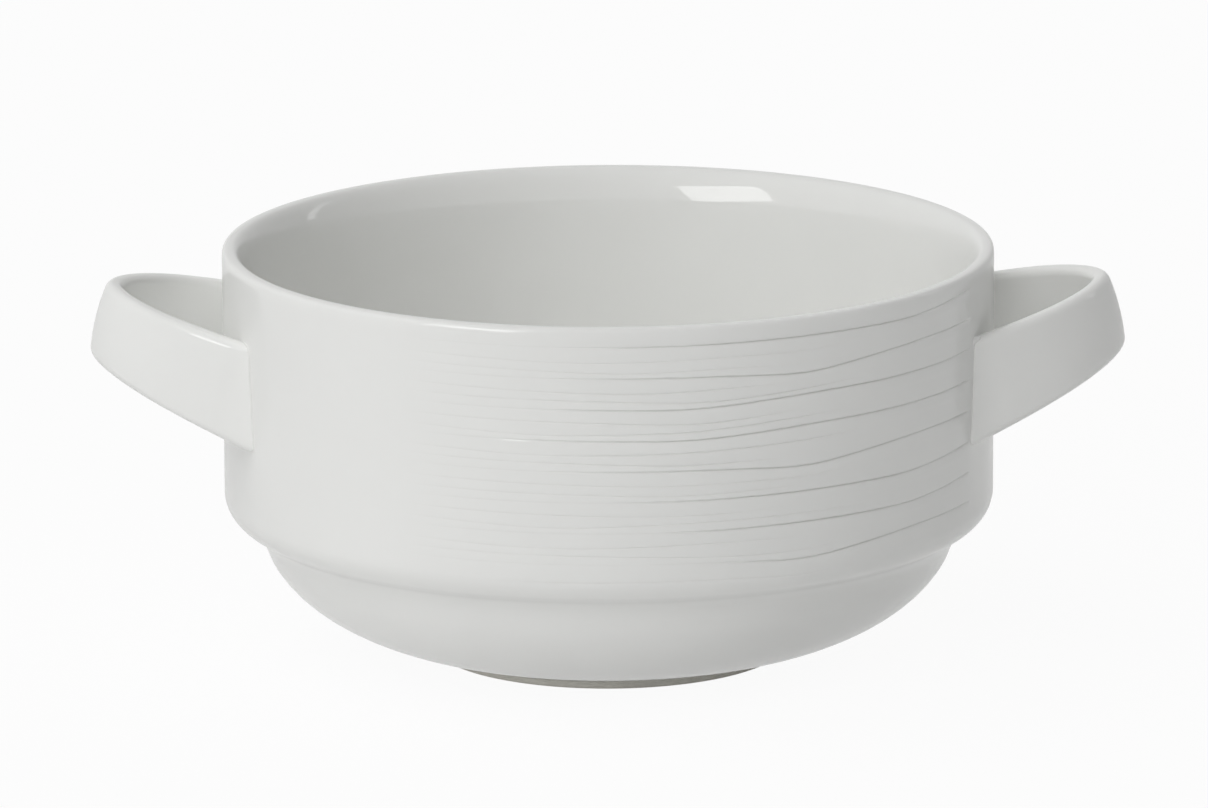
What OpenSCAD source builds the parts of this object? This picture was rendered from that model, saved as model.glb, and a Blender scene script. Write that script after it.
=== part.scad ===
// Stacking soup bowl of glazed porcelain with two strap lugs.
// The bowl stands on its foot ring at z = 0, on the Z axis, with one lug to +X and one to -X.

/* [Bowl body] */
// Diameter over the upright wall
bowl_d = 115; // [106:1:124]
// Height from the table to the top of the lip
bowl_h = 61.7; // [58:0.1:68]
// Thickness of the upright wall below the lip
wall_t = 4; // [3.4:0.1:4.6]
// Width across the rounded lip
lip_w = 3; // [2.4:0.1:3.4]
// Height over which the lip swells into the full wall
lip_run = 9; // [5:0.5:12]
// Thickness of the floor at its middle
floor_t = 3.8; // [3:0.1:5]
// Height above the table at which the inside begins to curve in to the floor
well_h = 36; // [32:0.5:42]

/* [Wall relief] */
// Number of long ripples up each side of the wall
ripple_count = 8; // [4:1:9]
// Distance from the shoulder up to the lowest ripple
ripple_rise = 2.2; // [2:0.1:5]
// Distance from the top of the lip down to the highest ripple
ripple_drop = 2.8; // [2.6:0.1:6]
// Depth of a ripple where it ends on the right
ripple_deep = 0.25; // [0.1:0.01:0.3]
// Height of a ripple's groove
ripple_h = 0.9; // [0.5:0.05:1.4]
// Height of the waves along the ripples
wave_h = 0.9; // [0:0.05:1.2]
// Where the ripples end to the left and to the right of the middle of a side, in degrees
ripple_left = 48; // [20:1:60]
ripple_right = 65; // [40:1:68]

/* [Stacking step] */
// Height of the inner corner of the step above the table
step_h = 19.9; // [18:0.1:22]
// Height of the rounded shoulder from the step up to the upright wall
shoulder_h = 4.6; // [3:0.1:7]
// Play between the step and the lip of a like bowl that it stands in
stack_play = 2.3; // [1:0.1:3.5]

/* [Foot ring] */
// Outside diameter of the foot ring where it meets the bowl
foot_d = 54; // [48:0.5:62]
// Width of the foot ring where it meets the bowl
foot_w = 4; // [3:0.1:5]
// Height of the foot ring on its outside
foot_h = 1.7; // [1.4:0.1:2.2]
// Slope of each side of the foot ring, from top to table
foot_draft = 0.3; // [0.1:0.05:0.6]
// Rounding of the foot ring beside its ground seat
foot_r = 0.8; // [0.4:0.05:1]
// Height of the underside within the foot ring above the table
recess_h = 2.6; // [2.4:0.1:3.2]

/* [Lugs] */
// Width of a lug over its two limbs
lug_w = 40; // [34:0.2:46]
// Distance from the wall out to the tip of the upper edge, along the slope of the lug
lug_out = 18; // [14:0.2:22]
// Distance inside the wall at which the limbs stop being straight
lug_set = 1.7; // [0:0.1:4]
// Height of the upper edge above the table where it leaves the wall
lug_top = 52.5; // [48:0.1:55]
// Upward slope of the lug away from the wall, in degrees
lug_slope = 14.4; // [8:0.1:20]
// Thickness of the strap
strap_t = 3; // [2.6:0.1:4]
// Height of the strap where its limbs stop being straight
strap_root_h = 14.4; // [12:0.1:16]
// Height of the strap at its tip
strap_tip_h = 11.5; // [9:0.1:14]
// Rounding of the strap's edges
strap_r = 1.2; // [0.6:0.05:1.25]
// Distance that the middle of the outer face stands out beyond its edges
strap_crown = 0.5; // [0:0.1:0.8]

/* [Luting slip] */
// Thickness of the slip between a lug and the wall
slip_t = 0.5; // [0.3:0.05:1]
// Width of the bead of slip squeezed out round a lug's root
slip_bead = 0.3; // [0.2:0.05:0.8]

/* [Hidden] */

glaze_colour = [0.86, 0.86, 0.85];
bare_clay_colour = [0.72, 0.69, 0.64];

// Number of sides that stand for a full circle
round_fn = 180;
// Steps along each long curve of the bowl's profile, and along a short rounding
curve_steps = 20;
round_steps = 4;
// Steps along half of a lug's plan, up its outer face, and along a ripple
strap_steps = 18;
crown_steps = 4;
ripple_steps = 28;

bowl_r = bowl_d / 2;
lip_r = lip_w / 2;
step_r = bowl_r - lip_w - stack_play;
foot_out_r = foot_d / 2;
foot_in_r = foot_out_r - foot_w;
well_r = bowl_r - wall_t;
floor_h = recess_h + floor_t;

// Exponents of the bowl's curves: the first flattens the floor, the second steepens the side
outer_curve_shares = [3.26, 1.79];
inner_curve_shares = [3.6, 1.8];
// Exponents of a lug's plan: across its width, and outwards
lug_plan_shares = [1.76, 1.55];

// Points of a bowl curve, from the radius r0 at its bottom to its full radius r1 at the height z1.
// The curve would reach the axis at the height z0.
function bowl_curve(r0, r1, z0, z1, shares) = [
    for (i = [0 : curve_steps])
        // Equal steps of angle crowd the points where the side turns upright
        let (r = r0 + (r1 - r0) * sin(90 * i / curve_steps))
        [r, z1 - (z1 - z0) * pow(1 - pow(r / r1, shares[0]), 1 / shares[1])]
];

// Points of an arc, round a centre, between two angles
function arc(centre, rx, ry, from, to, steps) = [
    for (i = [0 : steps])
        let (a = from + (to - from) * i / steps)
        centre + [rx * cos(a), ry * sin(a)]
];

// The height at which the lower curve would reach the axis, so that it meets the foot ring's top
outer_curve_z0 = step_h - (step_h - foot_h)
    / pow(1 - pow(foot_out_r / step_r, outer_curve_shares[0]), 1 / outer_curve_shares[1]);

// The same points from last to first
function backwards(points) = [for (i = [len(points) - 1 : -1 : 0]) points[i]];

body_outline = concat(
    [[0, recess_h], [foot_in_r, recess_h], [foot_in_r, foot_h]],
    bowl_curve(foot_out_r, step_r, outer_curve_z0, step_h, outer_curve_shares),
    arc([step_r, step_h + shoulder_h], bowl_r - step_r, shoulder_h, -90, 0, curve_steps),
    arc([bowl_r - lip_r, bowl_h - lip_r], lip_r, lip_r, 0, 180, curve_steps),
    [[well_r, bowl_h - lip_run]],
    backwards(bowl_curve(0, well_r, floor_h, well_h, inner_curve_shares))
);

foot_outline = concat(
    [[foot_in_r, foot_h]],
    arc([foot_in_r + foot_draft + foot_r, foot_r], foot_r, foot_r, 180, 270, round_steps),
    arc([foot_out_r - foot_draft - foot_r, foot_r], foot_r, foot_r, 270, 360, round_steps),
    [[foot_out_r, foot_h]]
);

// The relief is alike on both sides of the wall. Each ripple runs level from the left, dips once and
// then rises. Where it dips, and how deep, swings from one ripple to the next.
ripple_low = step_h + shoulder_h + ripple_rise;
ripple_pitch = (bowl_h - ripple_drop - ripple_low) / (ripple_count - 1);
wave_rise_share = 0.8;
wave_dip_shares = [0.5, 0.45];
dip_middle = 28;
dip_swing = 22;
dip_width = 12;
rise_width = 26;

// A smooth rise from 0 to 1 as t goes from 0 to 1
function ease(t) =
    let (c = min(1, max(0, t)))
    c * c * (3 - 2 * c);

// Height of the upper edge of ripple k at an angle from the middle of the side
function ripple_z(k, a) =
    let (dip_at = dip_middle + dip_swing * sin(60 * k))
    let (dip_share = wave_dip_shares[0] + wave_dip_shares[1] * cos(120 * k))
    let (rise_share = wave_rise_share * ease((a - dip_at) / rise_width))
    let (dip = dip_share / pow(1 + pow((a - dip_at) / dip_width, 2), 1.5))
    ripple_low + k * ripple_pitch + wave_h * (rise_share - dip);

// A lug lies along a plane that slopes up from the wall. In it, u runs outwards from the wall and
// v runs across. The outer face follows a rounded triangle between two straight limbs.
lug_half_w = lug_w / 2;
lug_span = lug_out + lug_set;

// How far the limbs run on inside the wall before they are cut back to it
root_overrun = lug_half_w;

// Place [u, v] of the outer face, and the direction square to it, at an angle from -90 to 90
function plan_place(a) = [
    lug_span * pow(cos(a), 2 / lug_plan_shares[1]) - lug_set,
    lug_half_w * sign(a) * pow(abs(sin(a)), 2 / lug_plan_shares[0])
];
function plan_normal(a) =
    let (u_share = pow(cos(a), 2 - 2 / lug_plan_shares[1]) * lug_plan_shares[1] / lug_span)
    let (v_share = pow(abs(sin(a)), 2 - 2 / lug_plan_shares[0]) * lug_plan_shares[0] / lug_half_w)
    [u_share, sign(a) * v_share] / norm([u_share, v_share]);

// Height of the strap at u
function strap_h(u) = strap_root_h + (strap_tip_h - strap_root_h) * (u + lug_set) / lug_span;

// The strap's cross section with rounded edges and a flat outer face, as [distance out from that
// face, height above the sloping plane]. It is larger by grow on every side.
function flat_section(h, grow) =
    let (r = strap_r + grow)
    concat(
        arc([-strap_r, -strap_r], r, r, 0, 90, round_steps),
        arc([strap_r - strap_t, -strap_r], r, r, 90, 180, round_steps),
        arc([strap_r - strap_t, strap_r - h], r, r, 180, 270, round_steps),
        arc([-strap_r, strap_r - h], r, r, 270, 360, round_steps),
        [for (i = [1 : crown_steps - 1])
            [grow, strap_r - h + (h - strap_r * 2) * i / crown_steps]]
    );

// The cross section with its outer face crowned: the edges of that face lie back
function strap_section(h, grow) = [
    for (p = flat_section(h, grow))
        let (half_t = strap_t / 2, half_h = h / 2)
        let (outer_share = max(0, (p[0] + half_t) / half_t), edge_share = (p[1] + half_h) / half_h)
        p - [strap_crown * outer_share * pow(edge_share, 2), 0]
];

// One ring of the strap's surface round the cross section at a place in plan
function strap_ring(place, normal, grow) = [
    for (s = strap_section(strap_h(place[0]), grow))
        let (u = place[0] + s[0] * normal[0])
        [
            bowl_r + u * cos(lug_slope) - s[1] * sin(lug_slope),
            place[1] + s[0] * normal[1],
            lug_top + u * sin(lug_slope) + s[1] * cos(lug_slope)
        ]
];

function strap_rings(grow) = concat(
    [strap_ring([-root_overrun, -lug_half_w], [0, -1], grow)],
    [for (i = [-strap_steps : strap_steps])
        let (a = 90 * i / strap_steps)
        strap_ring(plan_place(a), plan_normal(a), grow)],
    [strap_ring([-root_overrun, lug_half_w], [0, 1], grow)]
);

// A closed skin over a row of rings that all have as many points
module skin(rings) {
    rows = len(rings);
    n = len(rings[0]);
    sides = [
        for (i = [0 : rows - 2], j = [0 : n - 1])
            let (a = i * n + j, b = i * n + (j + 1) % n)
            each [[a, b, b + n], [a, b + n, a + n]]
    ];
    ends = [
        for (j = [1 : n - 2])
            each [[0, j + 1, j], [(rows - 1) * n, (rows - 1) * n + j, (rows - 1) * n + j + 1]]
    ];
    polyhedron([for (ring = rings) each ring], concat(sides, ends));
}

// The whole strap, with limbs that run on inside the wall
module strap(grow) {
    skin(strap_rings(grow));
}

// A solid that fills the bowl's wall line, larger by grow
module wall_space(grow) {
    cylinder(h = bowl_h * 2, r = bowl_r + grow, $fn = round_fn);
}

// Ripple k as a waving slab, seen from the front
module ripple(k) {
    angles = [
        for (i = [0 : ripple_steps])
            -ripple_left + (ripple_left + ripple_right) * i / ripple_steps
    ];
    upper = [for (a = angles) [bowl_r * sin(a), ripple_z(k, a)]];
    lower = [for (p = upper) p - [0, ripple_h]];
    rotate([90, 0, 0]) linear_extrude(bowl_d) polygon(concat(upper, backwards(lower)));
}

// What the ripples take from the front of the wall. They deepen from left to right, because the
// cylinder that they are cut down to stands a little to the left.
module ripples() {
    intersection() {
        for (k = [0 : ripple_count - 1]) ripple(k);
        difference() {
            wall_space(ripple_deep);
            translate([-ripple_deep / 2, 0, 0]) wall_space(-ripple_deep / 2);
        }
    }
}

module lug() {
    color(glaze_colour) difference() {
        strap(0);
        wall_space(slip_t);
    }
}

module lug_slip() {
    color(glaze_colour) difference() {
        intersection() {
            strap(slip_bead);
            wall_space(slip_t);
        }
        wall_space(0);
    }
}

module opposite() {
    rotate([0, 0, 180]) children();
}

module bowl_body() {
    color(glaze_colour) difference() {
        rotate_extrude($fn = round_fn) polygon(body_outline);
        ripples();
        opposite() ripples();
    }
}

module foot_ring() {
    color(bare_clay_colour) rotate_extrude($fn = round_fn) polygon(foot_outline);
}

module right_lug() {
    lug();
}

module left_lug() {
    opposite() lug();
}

module right_lug_slip() {
    lug_slip();
}

module left_lug_slip() {
    opposite() lug_slip();
}

bowl_body();
foot_ring();
left_lug();
right_lug();
left_lug_slip();
right_lug_slip();
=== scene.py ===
import math

import bpy
import numpy as np
from mathutils import Matrix, Vector


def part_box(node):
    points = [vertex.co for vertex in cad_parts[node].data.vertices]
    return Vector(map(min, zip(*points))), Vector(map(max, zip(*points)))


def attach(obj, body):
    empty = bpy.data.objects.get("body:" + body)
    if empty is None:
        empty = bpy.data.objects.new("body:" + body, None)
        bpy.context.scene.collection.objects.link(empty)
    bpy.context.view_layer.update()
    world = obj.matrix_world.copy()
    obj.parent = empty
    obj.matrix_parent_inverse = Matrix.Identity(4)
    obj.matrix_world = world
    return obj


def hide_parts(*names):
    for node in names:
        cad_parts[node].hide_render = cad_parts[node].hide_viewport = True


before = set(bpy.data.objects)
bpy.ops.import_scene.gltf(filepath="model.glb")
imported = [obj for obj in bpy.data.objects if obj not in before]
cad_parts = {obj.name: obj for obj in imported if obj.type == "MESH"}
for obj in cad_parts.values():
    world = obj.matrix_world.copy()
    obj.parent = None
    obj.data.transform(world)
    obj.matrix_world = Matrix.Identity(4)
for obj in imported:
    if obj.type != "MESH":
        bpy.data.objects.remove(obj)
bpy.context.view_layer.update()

mm = 0.001

# The view
# The photograph looks a little down on the bowl from far off, through a long lens, with the left
# lug turned slightly towards it. The picture is taken as 1208 by 808 pixels.
picture_width_px = 1208
view_distance = 1.6
view_elevation = math.radians(13.2)
view_turn = math.radians(-1.4)
view_roll = math.radians(-0.232)
aim_height = 37.15 * mm
aim_side = -0.68 * mm
focal_px = 10705
sensor_width_mm = 36

back = Vector((
    math.sin(view_turn) * math.cos(view_elevation),
    -math.cos(view_turn) * math.cos(view_elevation),
    math.sin(view_elevation),
))
level_right = (-back).cross(Vector((0, 0, 1))).normalized()
level_up = level_right.cross(-back)
camera_right = math.cos(view_roll) * level_right + math.sin(view_roll) * level_up
camera_up = math.cos(view_roll) * level_up - math.sin(view_roll) * level_right
aim = Vector((0, 0, aim_height)) + aim_side * level_right

camera_data = bpy.data.cameras.new("view")
camera_data.sensor_width = sensor_width_mm
camera_data.lens = focal_px * sensor_width_mm / picture_width_px
camera_data.clip_start = view_distance / 10
camera_data.clip_end = view_distance * 20
camera = bpy.data.objects.new("view", camera_data)
bpy.context.scene.collection.objects.link(camera)
camera_axes = Matrix((camera_right, camera_up, back)).transposed().to_4x4()
camera.matrix_world = Matrix.Translation(aim + view_distance * back) @ camera_axes
bpy.context.scene.camera = camera

# The bowl body
# One shell of cast porcelain with an upright wall, a rounded lip, a step for stacking and a low
# relief of rippling lines moulded in its wall. It is dipped in glaze, which rounds every corner.
bowl_low, bowl_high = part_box("bowl_body")
foot_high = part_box("foot_ring")[1]
wall_radius = bowl_high[1]
lip_height = bowl_high[2]
foot_height = bowl_low[2]
foot_radius = foot_high[0]
foot_width = 4 * mm
recess_height = 2.6 * mm
floor_height = 6.4 * mm
well_height = 36 * mm
wall_thickness = 4 * mm
lip_width = 3 * mm
lip_radius = lip_width / 2
step_height = 19.9 * mm
shoulder_height = 4.6 * mm
stack_play = 2.3 * mm
step_radius = wall_radius - lip_width - stack_play
well_radius = wall_radius - wall_thickness
outer_curve_shares = (3.26, 1.79)
inner_curve_shares = (3.6, 1.8)
wall_glaze_reach, lip_glaze_reach = 1.1 * mm, 0.5 * mm
curve_steps, shoulder_steps = 200, 60


def arc(centre, radius_r, radius_z, start, end, steps):
    """Points of an arc in a section, as (radius, height), between two angles in degrees."""
    angles = np.radians(np.linspace(start, end, steps + 1))
    radii = centre[0] + radius_r * np.cos(angles)
    heights = centre[1] + radius_z * np.sin(angles)
    return np.stack([radii, heights], 1)


def bowl_curve(start_radius, end_radius, axis_height, end_height, shares):
    """Points of a bowl's side, flat near the axis and upright at its full radius."""
    outward = np.sin(np.linspace(0, math.pi / 2, curve_steps + 1))
    radii = start_radius + (end_radius - start_radius) * outward
    rise = (1 - np.clip(radii / end_radius, 0, 1) ** shares[0]) ** (1 / shares[1])
    return np.stack([radii, end_height - (end_height - axis_height) * rise], 1)


def bend(start, corner, end, steps):
    """Points between a start and an end, on a curve that is drawn toward a corner."""
    t = np.linspace(0, 1, steps + 1)[1:-1, None]
    return start * (1 - t) ** 2 + np.array([corner]) * 2 * t * (1 - t) + end * t ** 2


def even_points(points, spacing):
    """The same line with its points at an even spacing."""
    lengths = np.r_[0, np.cumsum(np.hypot(*np.diff(points, axis=0).T))]
    places = np.linspace(0, lengths[-1], max(2, int(round(lengths[-1] / spacing)) + 1))
    return np.stack([np.interp(places, lengths, points[:, i]) for i in (0, 1)], 1)


def glaze_softened(points, reach):
    """The same line with its corners rounded as the glaze does, over a reach along it."""
    steps_in_reach = 8
    window = 2 * steps_in_reach
    fine = reach / steps_in_reach
    line = even_points(points, fine)
    weights = np.exp(-0.5 * (np.arange(-window, window + 1) * fine * 2 / reach) ** 2)
    weights /= weights.sum()
    # The line runs on past both ends, turned about them, so that its ends stay where they are
    before = 2 * line[0] - line[window:0:-1]
    after = 2 * line[-1] - line[-2:-window - 2:-1]
    long_line = np.concatenate([before, line, after])
    return np.stack([np.convolve(long_line[:, i], weights, "valid") for i in (0, 1)], 1)


def thinned(points, widest, sharpest):
    """Fewer points of a fine line: no gap over widest, and no turn over sharpest radians."""
    kept = [0]
    headings = np.unwrap(np.arctan2(*np.diff(points, axis=0).T[::-1]))
    for i in range(1, len(points) - 1):
        gap = np.hypot(*(points[i] - points[kept[-1]]))
        turn = abs(headings[i] - headings[kept[-1]])
        if gap >= widest or turn >= sharpest:
            kept.append(i)
    return points[kept + [len(points) - 1]]


# The lower side runs from the foot's edge out to the step, as part of a curve that starts lower
# down on the axis
meeting_share = (foot_radius / step_radius) ** outer_curve_shares[0]
outer_axis_height = step_height - (step_height - foot_height) / (
    (1 - meeting_share) ** (1 / outer_curve_shares[1])
)
lower_side = bowl_curve(
    foot_radius, step_radius, outer_axis_height, step_height, outer_curve_shares
)
relief_low = step_height + shoulder_height
shoulder = arc(
    (step_radius, relief_low), wall_radius - step_radius, shoulder_height, -90, 0, shoulder_steps
)

# The inner corner of the step is a wide hollow in the mould, and the glaze gathers in it
hollow_height, hollow_width, hollow_drop = 4.6 * mm, 2.2 * mm, 0.4 * mm
hollow_steps = 24
lower_side = lower_side[lower_side[:, 1] < step_height - hollow_height]
shoulder = shoulder[shoulder[:, 0] > step_radius + hollow_width]
hollow_corner = (step_radius, step_height - hollow_drop)
hollow = bend(lower_side[-1], hollow_corner, shoulder[0], hollow_steps)
outside = np.concatenate([lower_side, hollow, shoulder])
glazed_outside = glaze_softened(outside, wall_glaze_reach)

# The lip has a tight rounding outside, and inside it leans out in an ever steeper curve
lip_top_radius = wall_radius - lip_radius
lip_corner_width, lip_corner_height, lip_corner_share = 0.9 * mm, 1.4 * mm, 2 / 3.2
lip_corner_steps = 40
round_corner = np.linspace(0, math.pi / 2, lip_corner_steps + 1)
lip_corner = np.stack([
    wall_radius - lip_corner_width * (1 - np.cos(round_corner) ** lip_corner_share),
    lip_height - lip_corner_height * (1 - np.sin(round_corner) ** lip_corner_share),
], 1)
lip_curve_start = 51.5 * mm
lip_curve_shares = (1.79, 2.92)
lip_curve_steps = 120
across = np.linspace(1, 0, lip_curve_steps + 1) ** 2
lip_inside = np.stack([
    well_radius + (lip_top_radius - well_radius) * across,
    lip_curve_start + (lip_height - lip_curve_start)
    * (1 - (1 - across) ** lip_curve_shares[0]) ** (1 / lip_curve_shares[1]),
], 1)
well = bowl_curve(0, well_radius, floor_height, well_height, inner_curve_shares)[::-1]
inside = np.concatenate([lip_corner, lip_inside, well])
glazed_inside = glaze_softened(inside, lip_glaze_reach)

# The relief: long ripples cross each side of the wall between the lugs, with shorter and shallower
# ones between them. Angles are in degrees from the middle of a side, + to its right.
around = 360
panel_left, panel_right = 48, 65
long_ripples = 8
lowest_above_shoulder = 2.2 * mm
highest_below_lip = 2.8 * mm
wave_height = 0.9 * mm
wave_rise_share, wave_dip_shares = 0.8, (0.5, 0.45)
dip_middle, dip_swing, dip_width, rise_width = 28, 22, 12, 26
dip_place_step, dip_share_step = math.radians(60), math.radians(120)
long_depth, short_depth, notch_depth = 0.28 * mm, 0.07 * mm, 0.22 * mm
long_reach, short_reach = 1.35 * mm, 0.9 * mm

# A long ripple starts faint, and deepens from an angle of its own, the middle one first. Its depth
# and its notch grow between two offsets from that angle.
faint_start, faint_share = (-32, -20), 0.1
first_ripple, first_deepens = 4, -18
later_below, later_above = 7, 3
long_deepening, long_notching = (6, 30), (-2, 14)

# The short ripples: how far up to the next long one each lies, and how wide its dip is. Sines with
# uneven steps vary them, so that no two are alike. Each fades between two offsets from its end.
short_places = ((0.3, 16), (0.64, 22))
short_place_swing, short_dip_share = 0.05, 0.13
short_dip_middle, short_dip_swing = 4, 14
short_end_middle, short_end_swing = 24, 8
place_steps, dip_steps, end_steps = (3.1, 0), (2.3, 7), (4.7, 9)
short_start, short_ending = (-34, -20), (-6, 10)
short_deepening, short_faint_share = (-12, 4), 0.6
short_notching, short_notch_share = (-16, 0), 0.25
notched_ripples, notched_share = (3, 4, 5), 0.6

# One more short ripple runs under the lowest long one, and has no notch
under_drop, under_dip, under_dip_at, under_dip_width = 2.4 * mm, 0.3 * mm, -10, 30
under_start, under_end = (-20, -8), (20, 44)

# A ripple's section, from its foot up. It slopes in ever more steeply to a notch with a lip over
# it: the shares of its slope, then shares of its depth and of its notch at so many flanks below it.
flank = 0.1 * mm
slope_shares, slope_flanks = (1.0, 0.55, 0.2), 1.3
ripple_edge = ((0.86, 0.15, 1.3), (0.95, 0.9, 0.6), (0.75, 1, 0), (0.12, 0.1, -0.7), (0, 0, -1.7))
smallest_gap = 3.2 * flank
relief_start = relief_low - 1.5 * mm

turn_angles = np.arange(around) * 360 / around
side_angles = (turn_angles + 180) % 180 - 90


def risen(start, end):
    """0 up to one angle and 1 from another on, with a smooth rise between."""
    t = np.clip((side_angles - start) / (end - start), 0, 1)
    return t * t * (3 - 2 * t)


def risen_past(angle, offsets):
    """The same, between two angles given by their offsets from another."""
    return risen(angle + offsets[0], angle + offsets[1])


def dip(angle, width):
    """A smooth dip of depth 1 at an angle."""
    return 1 / (1 + ((side_angles - angle) / width) ** 2) ** 1.5


def uneven(steps, k, share):
    """A value from -1 to 1 for the short ripple at a share of the way above long ripple k."""
    return math.sin(steps[0] * k + steps[1] * share)


lowest = relief_low + lowest_above_shoulder
ripple_spacing = (lip_height - highest_below_lip - lowest) / (long_ripples - 1)
lines = []
for k in range(long_ripples):
    dip_at = dip_middle + dip_swing * math.sin(dip_place_step * k)
    dip_share = wave_dip_shares[0] + wave_dip_shares[1] * math.cos(dip_share_step * k)
    rise = wave_rise_share * risen(dip_at, dip_at + rise_width)
    wave = rise - dip_share * dip(dip_at, dip_width)
    lines.append(lowest + k * ripple_spacing + wave_height * wave)
inside_panel = (side_angles >= -panel_left) & (side_angles <= panel_right)


def long_ripple(k):
    """Height, depth and notch depth all round of a long ripple, and its reach downwards."""
    later = later_below * max(first_ripple - k, 0) + later_above * max(k - first_ripple, 0)
    deepens = first_deepens + later
    deepened = risen_past(deepens, long_deepening)
    depth = long_depth * (faint_share * risen(*faint_start) + (1 - faint_share) * deepened)
    notch = notch_depth * risen_past(deepens, long_notching)
    return lines[k], depth * inside_panel, notch * inside_panel, long_reach


def short_ripple(k, share, width):
    """The same of a short ripple, at a share of the way from long ripple k up to the next."""
    dip_at = short_dip_middle + short_dip_swing * uneven(dip_steps, k, share)
    place = share + short_place_swing * uneven(place_steps, k, share)
    place = place - short_dip_share * dip(dip_at, width)
    ends = short_end_middle + short_end_swing * uneven(end_steps, k, share)
    seen = risen(*short_start) * (1 - risen_past(ends, short_ending))
    deepened = short_faint_share + (1 - short_faint_share) * risen(*short_deepening)
    notch_share = notched_share if k in notched_ripples else short_notch_share
    notch = notch_depth * notch_share * seen * risen(*short_notching)
    height = lines[k] + (lines[k + 1] - lines[k]) * place
    return height, short_depth * seen * deepened, notch, short_reach


under = lines[0] - under_drop - under_dip * dip(under_dip_at, under_dip_width)
under_depth = short_depth * risen(*under_start) * (1 - risen(*under_end))
ripples = [(under, under_depth, np.zeros(around), short_reach)]
for k in range(long_ripples):
    ripples.append(long_ripple(k))
    if k + 1 < long_ripples:
        ripples += [short_ripple(k, share, width) for share, width in short_places]

# Rows of the wall, each with a radius and a height for every step round
wall_line = np.concatenate([glazed_outside, [(wall_radius, lip_height - lip_radius)]])
wall_line_start = step_height + 0.5 * mm
wall_line = wall_line[np.argmax(wall_line[:, 1] > wall_line_start):]
wall_rows = []
below = np.full(around, relief_start)
for height, depth, notch, reach in ripples:
    room = np.minimum(reach, height - below - smallest_gap)
    section = [((1 - s) ** 2, 0, slope_flanks * flank + s * room) for s in slope_shares]
    section += [(inward, notched, flanks * flank) for inward, notched, flanks in ripple_edge]
    for inward, notched, drop in section:
        row_height = height - drop
        plain_radius = np.interp(row_height, wall_line[:, 1], wall_line[:, 0])
        wall_rows.append((plain_radius - depth * inward - notch * notched, row_height))
    below = height

# The underside is a plain recess inside the foot ring, with softened corners
foot_inner_radius = foot_radius - foot_width
recess_edge, recess_draft, recess_corner = 0.2 * mm, 0.1 * mm, 0.4 * mm
underside = [
    (foot_inner_radius / 2, recess_height),
    (foot_inner_radius - recess_draft - recess_corner, recess_height),
    (foot_inner_radius - recess_draft, recess_height - recess_corner),
    (foot_inner_radius, foot_height + recess_edge),
    (foot_inner_radius + recess_edge, foot_height),
    (foot_radius - foot_width / 2, foot_height),
]


def level_rows(section):
    """Rows that are level all round, one for each (radius, height) of a section."""
    return [(np.full(around, r), np.full(around, z)) for r, z in section]


def piece_from(name, points, faces, smooth=True):
    """A mesh object of these points and faces."""
    mesh = bpy.data.meshes.new(name)
    mesh.from_pydata([tuple(p) for p in points], [], faces)
    mesh.validate()
    if smooth:
        mesh.shade_smooth()
    piece = bpy.data.objects.new(name, mesh)
    bpy.context.scene.collection.objects.link(piece)
    return piece


def band_faces(rows, columns):
    """Faces between closed rows of points."""
    faces = []
    for i in range(rows - 1):
        for j in range(columns):
            a, b = i * columns + j, i * columns + (j + 1) % columns
            faces.append((a, b, b + columns, a + columns))
    return faces


def turned_piece(name, rows, low_middle=None, high_middle=None):
    """A piece of closed rows round the Z axis, shut with a fan at a middle height where given."""
    angles = np.radians(turn_angles)
    points = [
        point for r, z in rows for point in zip(r * np.cos(angles), r * np.sin(angles), z)
    ]
    faces = band_faces(len(rows), around)
    last_row = (len(rows) - 1) * around
    for height, row, faces_up in ((low_middle, 0, False), (high_middle, last_row, True)):
        if height is None:
            continue
        middle = len(points)
        points.append((0, 0, height))
        for j in range(around):
            a, b = row + j, row + (j + 1) % around
            faces.append((middle, a, b) if faces_up else (middle, b, a))
    return piece_from(name, points, faces)


widest_below, sharpest_below = 2 * mm, 0.12
widest_above, sharpest_above = 3.4 * mm, 0.13
lower_line = glazed_outside[glazed_outside[:, 1] < relief_start]
body_rows = level_rows(underside)
body_rows += level_rows(thinned(lower_line, widest_below, sharpest_below))
body_rows += wall_rows
body_rows += level_rows(thinned(glazed_inside, widest_above, sharpest_above)[:-1])
body = turned_piece("bowl_body_glazed", body_rows, recess_height, floor_height)


def material_nodes(name):
    """A new material, its nodes and its shader."""
    material = bpy.data.materials.new(name)
    material.use_nodes = True
    tree = material.node_tree
    return material, tree, tree.nodes["Principled BSDF"]


def noise(tree, scale, detail):
    """Noise that stays with the piece."""
    place = tree.nodes.new("ShaderNodeTexCoord")
    node = tree.nodes.new("ShaderNodeTexNoise")
    node.inputs["Scale"].default_value = scale
    node.inputs["Detail"].default_value = detail
    tree.links.new(place.outputs["Object"], node.inputs["Vector"])
    return node.outputs["Fac"]


def colour_by(tree, factor, low, high):
    """A colour that follows a factor between two places, each with its colour."""
    node = tree.nodes.new("ShaderNodeValToRGB")
    for element, (position, colour) in zip(node.color_ramp.elements, (low, high)):
        element.position = position
        element.color = (*colour, 1)
    tree.links.new(factor, node.inputs["Fac"])
    return node.outputs["Color"]


def bumps(tree, height, strength, distance):
    """The direction that a surface faces with bumps of this height."""
    node = tree.nodes.new("ShaderNodeBump")
    node.inputs["Strength"].default_value = strength
    node.inputs["Distance"].default_value = distance
    tree.links.new(height, node.inputs["Height"])
    return node.outputs["Normal"]


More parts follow.
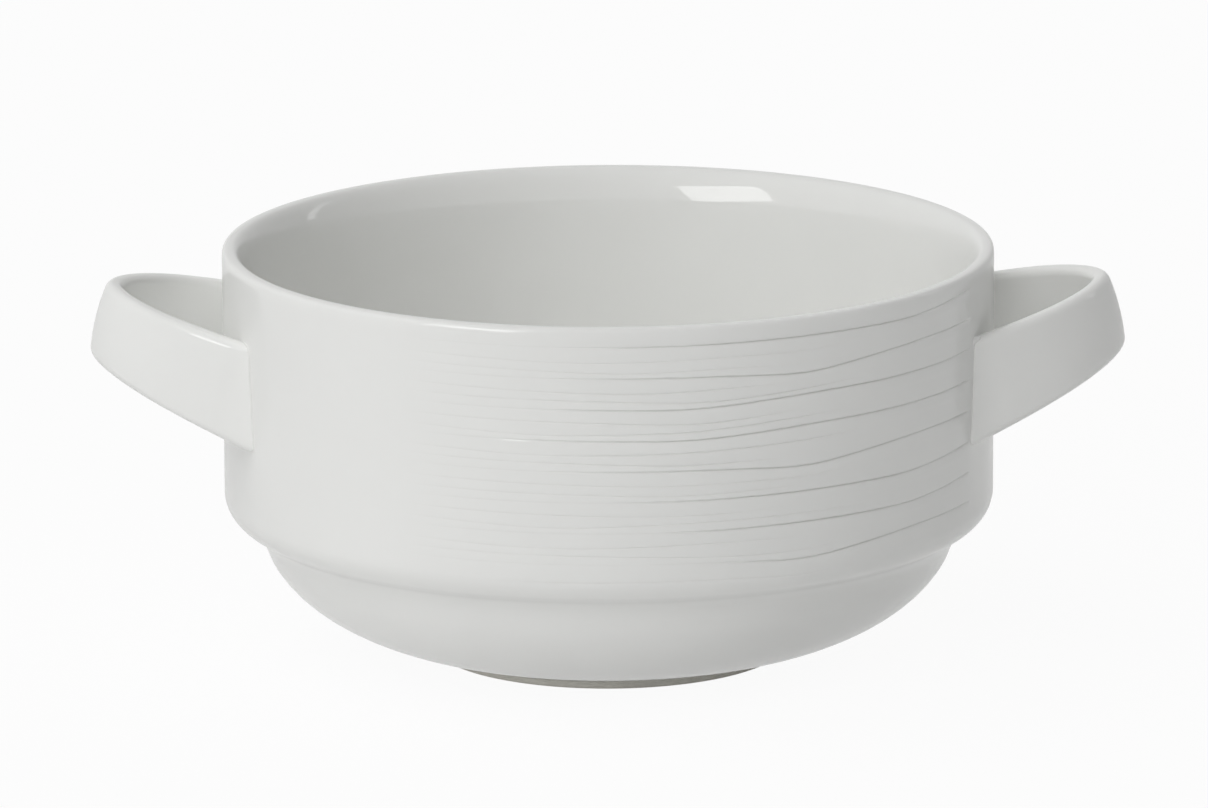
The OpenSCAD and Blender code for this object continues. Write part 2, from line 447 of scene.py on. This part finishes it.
def porcelain_glaze(name, tint):
    """White clay under a clear glaze, a little cloudy, with a skin that is never dead flat."""
    material, tree, shader = material_nodes(name)
    cloud = noise(tree, scale=38, detail=3)
    deeper_tint = [c * 0.975 for c in tint]
    colour = colour_by(tree, cloud, (0.3, deeper_tint), (0.72, tint))
    tree.links.new(colour, shader.inputs["Base Color"])
    gloss = tree.nodes.new("ShaderNodeMapRange")
    gloss.inputs["To Min"].default_value = 0.015
    gloss.inputs["To Max"].default_value = 0.035
    tree.links.new(cloud, gloss.inputs["Value"])
    skin = noise(tree, scale=260, detail=1)
    normal = bumps(tree, skin, strength=0.02, distance=0.4 * mm)
    for layer in ("", "Coat "):
        tree.links.new(gloss.outputs["Result"], shader.inputs[layer + "Roughness"])
        tree.links.new(normal, shader.inputs[layer + "Normal"])
    shader.inputs["Specular IOR Level"].default_value = 0
    shader.inputs["Coat Weight"].default_value = 0.5
    shader.inputs["Coat IOR"].default_value = 2
    return material


glaze = porcelain_glaze("porcelain_glaze", (0.896, 0.90, 0.88))
body.data.materials.append(glaze)
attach(body, "root")
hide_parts("bowl_body")

# The foot ring
# The ring under the bowl, of the same clay. It is wiped clean of glaze, so that it doesn't stick
# in the kiln, and its seat is ground flat after firing.
foot_draft = 0.3 * mm
foot_rounding = 0.8 * mm
rounding_steps = 8
seat_outside = foot_radius - foot_draft - foot_rounding
seat_inside = foot_inner_radius + foot_draft + foot_rounding
foot_section = np.concatenate([
    [(foot_inner_radius, foot_height)],
    arc((seat_inside, foot_rounding), foot_rounding, foot_rounding, 180, 270, rounding_steps),
    [((seat_inside + seat_outside) / 2, 0)],
    arc((seat_outside, foot_rounding), foot_rounding, foot_rounding, 270, 360, rounding_steps),
    [(foot_radius, foot_height), (foot_inner_radius, foot_height)],
])
foot = turned_piece("foot_ring_bare", level_rows(foot_section))

bare_clay, tree, shader = material_nodes("bare_porcelain")
grain = noise(tree, scale=900, detail=4)
dark_clay, light_clay = (0.86, 0.84, 0.77), (0.93, 0.91, 0.84)
clay_colour = colour_by(tree, grain, (0.35, dark_clay), (0.7, light_clay))
tree.links.new(clay_colour, shader.inputs["Base Color"])
grain_normal = bumps(tree, grain, strength=0.25, distance=0.1 * mm)
tree.links.new(grain_normal, shader.inputs["Normal"])
shader.inputs["Roughness"].default_value = 0.85
foot.data.materials.append(bare_clay)
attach(foot, "root")
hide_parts("foot_ring")

# The lugs
# Each is a cast strap of the same clay, bent to a loop that flares up and out from the wall. It is
# cut to the curve of the wall, where its limbs spread a little, and stuck on with slip while both
# are leather-hard.
lug_half_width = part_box("right_lug")[1][1]
lug_out = 18 * mm
lug_set = 1.7 * mm
lug_top = 52.5 * mm
lug_slope = math.radians(14.4)
strap_thickness = 3 * mm
strap_root_height = 14.4 * mm
strap_tip_height = 11.5 * mm
strap_rounding = 1.2 * mm
strap_crown = 0.5 * mm
lug_plan_shares = (1.76, 1.55)
lug_span = lug_out + lug_set
limb_spread = 1.4 * mm
limb_spread_start, limb_spread_end = 6 * mm, -4 * mm


def spread(u):
    """How far the limbs spread toward the wall."""
    share = (limb_spread_start - u) / (limb_spread_start - limb_spread_end)
    return limb_spread * max(share, 0) ** 2


def plan_place(angle):
    """Place of the lug's outer face in its own plane, and the direction square to it."""
    c, s = math.cos(angle), math.sin(angle)
    side = math.copysign(1, s)
    place = (
        lug_span * max(c, 0) ** (2 / lug_plan_shares[1]) - lug_set,
        lug_half_width * side * abs(s) ** (2 / lug_plan_shares[0]),
    )
    out = max(c, 0) ** (2 - 2 / lug_plan_shares[1]) * lug_plan_shares[1] / lug_span
    across = abs(s) ** (2 - 2 / lug_plan_shares[0]) * lug_plan_shares[0] / lug_half_width
    length = math.hypot(out, across)
    return place, (out / length, side * across / length)


def strap_height(u):
    """Height of the strap at a distance out from the wall."""
    share = (u + lug_set) / lug_span
    return strap_root_height + (strap_tip_height - strap_root_height) * share


def strap_section(height, crown=0.0, corner_steps=10, face_steps=7):
    """The strap's section with rounded edges, as (out from the outer face, above the plane)."""
    r, t = strap_rounding, strap_thickness
    corners = [(-r, -r, 0), (r - t, -r, 90), (r - t, r - height, 180), (-r, r - height, 270)]
    rounded = [arc((x, z), r, r, a, a + 90, corner_steps) for x, z, a in corners]
    points = []
    for i, corner in enumerate(rounded):
        points.extend(corner)
        after = rounded[(i + 1) % 4][0]
        steps = face_steps if i % 2 else 1
        for k in range(1, steps):
            points.append(corner[-1] + (after - corner[-1]) * k / steps)
    points = np.array(points)
    # Where the outer face is crowned, its edges lie back
    outer_share = np.clip(points[:, 0] / (t / 2) + 1, 0, 1)
    edge_share = points[:, 1] / (height / 2) + 1
    points[:, 0] -= crown * outer_share * edge_share ** 2
    return points


def from_lug_plane(u, v, w):
    """A place in the right lug's sloping plane, as the bowl's own X, Y and Z."""
    return (
        wall_radius + u * math.cos(lug_slope) - w * math.sin(lug_slope),
        v + math.copysign(spread(u), v),
        lug_top + u * math.sin(lug_slope) + w * math.cos(lug_slope),
    )


def strap_ring(place, normal):
    """One ring of points round the strap. Its face is crowned at the tip and flat on the limbs."""
    return [
        from_lug_plane(place[0] + s * normal[0], place[1] + s * normal[1], w)
        for s, w in strap_section(strap_height(place[0]), strap_crown * normal[0] ** 2)
    ]


def place_at_wall(index):
    """Where point index of the section meets the wall, as (along the limb, across, above)."""
    u = -lug_set
    # Each pass comes closer to the wall, and the fourth is there
    for _ in range(4):
        s, w = strap_section(strap_height(u))[index]
        wall_x = math.sqrt(wall_radius ** 2 - (lug_half_width + spread(u) + s) ** 2)
        u = (wall_x - wall_radius + w * math.sin(lug_slope)) / math.cos(lug_slope)
    return u, s, w


ring_size = len(strap_section(strap_root_height))
roots = np.array([place_at_wall(i) for i in range(ring_size)])
root_section = roots[:, 1:]
along = np.roll(root_section, -1, 0) - np.roll(root_section, 1, 0)
root_outward = np.stack([along[:, 1], -along[:, 0]], 1)
root_outward /= np.linalg.norm(root_outward, axis=1)[:, None]

# The limbs are cut to the wall, and their cut edges are a little rounded: how far from the wall,
# and how much the strap is smaller there, in mm
cut_edge = ((1.2, 0), (0.5, 0), (0.36, 0.02), (0.22, 0.08), (0.12, 0.18), (0.05, 0.3), (-0.6, 0.3))


def root_ring(side, distance, inset):
    """One ring round a limb at an even distance from the wall."""
    section = root_section - inset * root_outward
    return [
        from_lug_plane(u + distance, side * (lug_half_width + s), w)
        for u, (s, w) in zip(roots[:, 0], section)
    ]


lug_rings = []
half_steps = 48
for i in range(-half_steps, half_steps + 1):
    place, normal = plan_place(math.pi / 2 * i / half_steps)
    lug_rings.append(strap_ring(place, normal))
for distance, inset in cut_edge:
    lug_rings.insert(0, root_ring(-1, distance * mm, inset * mm))
    lug_rings.append(root_ring(1, distance * mm, inset * mm))

lug_points = np.array([p for ring in lug_rings for p in ring])
lug_faces = band_faces(len(lug_rings), ring_size)
last_ring = (len(lug_rings) - 1) * ring_size
lug_faces.append(tuple(range(ring_size))[::-1])
lug_faces.append(tuple(last_ring + j for j in range(ring_size)))


def lug_pair(name, points, faces, material, node_name):
    """A piece on the right, and the same turned half round on the left."""
    for side, turn in (("right", 1), ("left", -1)):
        piece = piece_from(side + "_" + name, points * (turn, turn, 1), faces)
        piece.data.materials.append(material)
        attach(piece, "root")
        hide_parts(side + "_" + node_name)


lug_pair("lug_glazed", lug_points, lug_faces, glaze, "lug")

# The luting slip
# Liquid clay that sticks the lugs on. What squeezes out is sponged to a small hollow fillet round
# each limb, and the glaze runs into it.
fillet_radius = 0.3 * mm
fillet_inset = 0.2 * mm
slip_inset = 0.4 * mm
fillet_steps = 6

# A crumb of slip was left on the upper outer corner of one limb: the point of the section that it
# lies at, how many points it spreads over, and how much it adds to the fillet
crumb_place, crumb_width, crumb_size = 5.5, 3, 2.2


def slip_section(radius, fullness):
    """Section of the slip, as (from the wall, out from the limb): hollow at 0, and round at 1."""
    section = []
    for k in range(fillet_steps + 1):
        a = math.pi / 2 * k / fillet_steps
        filled = (math.cos(a) + math.sin(a) - 1) * fullness
        away = 1 - math.sin(a) + filled
        beside = 1 - math.cos(a) + filled
        section.append((radius * away, radius * beside - fillet_inset))
    section.append((-slip_inset, radius - fillet_inset))
    section.append((-slip_inset, -fillet_inset - slip_inset))
    section.append((radius, -fillet_inset - slip_inset))
    return section


slip_points, slip_faces = [], []
for side in (-1, 1):
    first = len(slip_points)
    for i, ((u, s, w), (out_s, out_w)) in enumerate(zip(roots, root_outward)):
        crumb = math.exp(-((i - crumb_place) / crumb_width) ** 2) if side < 0 else 0
        section = slip_section(fillet_radius * (1 + crumb_size * crumb), crumb)
        slip_points += [
            from_lug_plane(u + away, side * (lug_half_width + s + g * out_s), w + g * out_w)
            for away, g in section
        ]
    size = len(section)
    for i in range(ring_size):
        for j in range(size):
            here, after = first + i * size, first + (i + 1) % ring_size * size
            next_j = (j + 1) % size
            face = (here + j, here + next_j, after + next_j, after + j)
            slip_faces.append(face if side > 0 else face[::-1])
# The slip's glaze is a little darker than the bowl's: glaze pooled in the crease round each limb,
# and painted shade there.
slip_glaze_and_painted_shade = porcelain_glaze("slip_glaze_and_painted_shade", (0.88, 0.88, 0.862))
slip_points = np.array(slip_points)
lug_pair("lug_slip_glazed", slip_points, slip_faces, slip_glaze_and_painted_shade, "lug_slip")

# The table and the studio
# A pale table runs off out of sight. A softbox stands at the front left, and a weak one at the
# right, in a room of plain soft light.
floor_size = 12
white = (1, 1, 1, 1)


def seen_or_mirrored(tree):
    """1 where the camera, a reflection or clear glass looks at this, else 0."""
    path = tree.nodes.new("ShaderNodeLightPath")
    total = path.outputs["Is Camera Ray"]
    for name in ("Is Glossy Ray", "Is Transmission Ray"):
        add = tree.nodes.new("ShaderNodeMath")
        add.operation = "MAXIMUM"
        tree.links.new(total, add.inputs[0])
        tree.links.new(path.outputs[name], add.inputs[1])
        total = add.outputs[0]
    return total


floor = piece_from(
    "table",
    [(x * floor_size, y * floor_size, 0) for x, y in ((-1, -1), (1, -1), (1, 1), (-1, 1))],
    [(0, 1, 2, 3)],
    smooth=False,
)
table_material = bpy.data.materials.new("pale_table")
table_material.use_nodes = True
tree = table_material.node_tree
tree.nodes.clear()
output = tree.nodes.new("ShaderNodeOutputMaterial")
matt = tree.nodes.new("ShaderNodeBsdfDiffuse")
matt.inputs["Color"].default_value = (0.85, 0.85, 0.85, 1)
glow = tree.nodes.new("ShaderNodeEmission")
glow.inputs["Color"].default_value = white
# Most of what the camera sees of the table is its own white, and the rest shows the bowl's shadow.
# To other rays it glows a little too, a painted glow that lights the bowl from under it.
glow_share = tree.nodes.new("ShaderNodeMapRange")
glow_share.inputs["To Min"].default_value = 0.04
glow_share.inputs["To Max"].default_value = 0.94
tree.links.new(seen_or_mirrored(tree), glow_share.inputs["Value"])
blend = tree.nodes.new("ShaderNodeMixShader")
tree.links.new(glow_share.outputs["Result"], blend.inputs[0])
tree.links.new(matt.outputs[0], blend.inputs[1])
tree.links.new(glow.outputs[0], blend.inputs[2])
tree.links.new(blend.outputs[0], output.inputs["Surface"])
floor.data.materials.append(table_material)

world = bpy.data.worlds.new("studio")
bpy.context.scene.world = world
world.use_nodes = True
tree = world.node_tree
background = tree.nodes["Background"]
background.inputs["Color"].default_value = white
# Soft light of the room: wide glows, each with its azimuth and elevation in degrees, its level and
# how narrow it is. Azimuth 0 is the viewer's side, + to the right.
room_glows = (
    (-100, 60, 2.6, 16),
    (-45, 60, 0.8, 16),
    (-15, 35, 2.6, 16),
    (110, 30, 0.2, 16),
    (110, 5, 1.4, 16),
    (180, 30, 1.6, 16),
)


def toward(azimuth, elevation):
    """The direction from the bowl to a light."""
    a, e = math.radians(azimuth), math.radians(elevation)
    return Vector((math.sin(a) * math.cos(e), -math.cos(a) * math.cos(e), math.sin(e)))


direction = tree.nodes.new("ShaderNodeTexCoord").outputs["Generated"]
room_light = None
for azimuth, elevation, level, narrowness in room_glows:
    facing = tree.nodes.new("ShaderNodeVectorMath")
    facing.operation = "DOT_PRODUCT"
    facing.inputs[1].default_value = toward(azimuth, elevation)
    tree.links.new(direction, facing.inputs[0])
    value = facing.outputs["Value"]
    for operation, amount in (("MAXIMUM", 0), ("POWER", narrowness), ("MULTIPLY", level)):
        step = tree.nodes.new("ShaderNodeMath")
        step.operation = operation
        step.inputs[1].default_value = amount
        tree.links.new(value, step.inputs[0])
        value = step.outputs[0]
    if room_light is None:
        room_light = value
    else:
        add = tree.nodes.new("ShaderNodeMath")
        tree.links.new(room_light, add.inputs[0])
        tree.links.new(value, add.inputs[1])
        room_light = add.outputs[0]
strength = tree.nodes.new("ShaderNodeMapRange")
strength.inputs["To Max"].default_value = 1
tree.links.new(room_light, strength.inputs["To Min"])
tree.links.new(seen_or_mirrored(tree), strength.inputs["Value"])
tree.links.new(strength.outputs["Result"], background.inputs["Strength"])


def softbox(name, azimuth, elevation, roll, distance, width, height, power):
    """A lamp with a square face, aimed at the bowl. Roll leans its top to its left."""
    data = bpy.data.lights.new(name, "AREA")
    data.shape = "RECTANGLE"
    data.size = width
    data.size_y = height
    data.energy = power
    lamp = bpy.data.objects.new(name, data)
    bpy.context.scene.collection.objects.link(lamp)
    direction = toward(azimuth, elevation)
    lamp.location = Vector((0, 0, lip_height / 2)) + distance * direction
    aimed = direction.to_track_quat("Z", "Y").to_matrix()
    lamp.rotation_euler = (aimed @ Matrix.Rotation(math.radians(roll), 3, "Z")).to_euler()


softbox(
    "front_left_softbox",
    azimuth=-41, elevation=15, roll=-14, distance=1.2, width=0.61, height=0.43, power=2.5,
)
softbox(
    "right_strip",
    azimuth=110, elevation=20, roll=0, distance=1.2, width=0.1, height=0.5, power=0.2,
)

bpy.context.scene.view_settings.view_transform = "Standard"
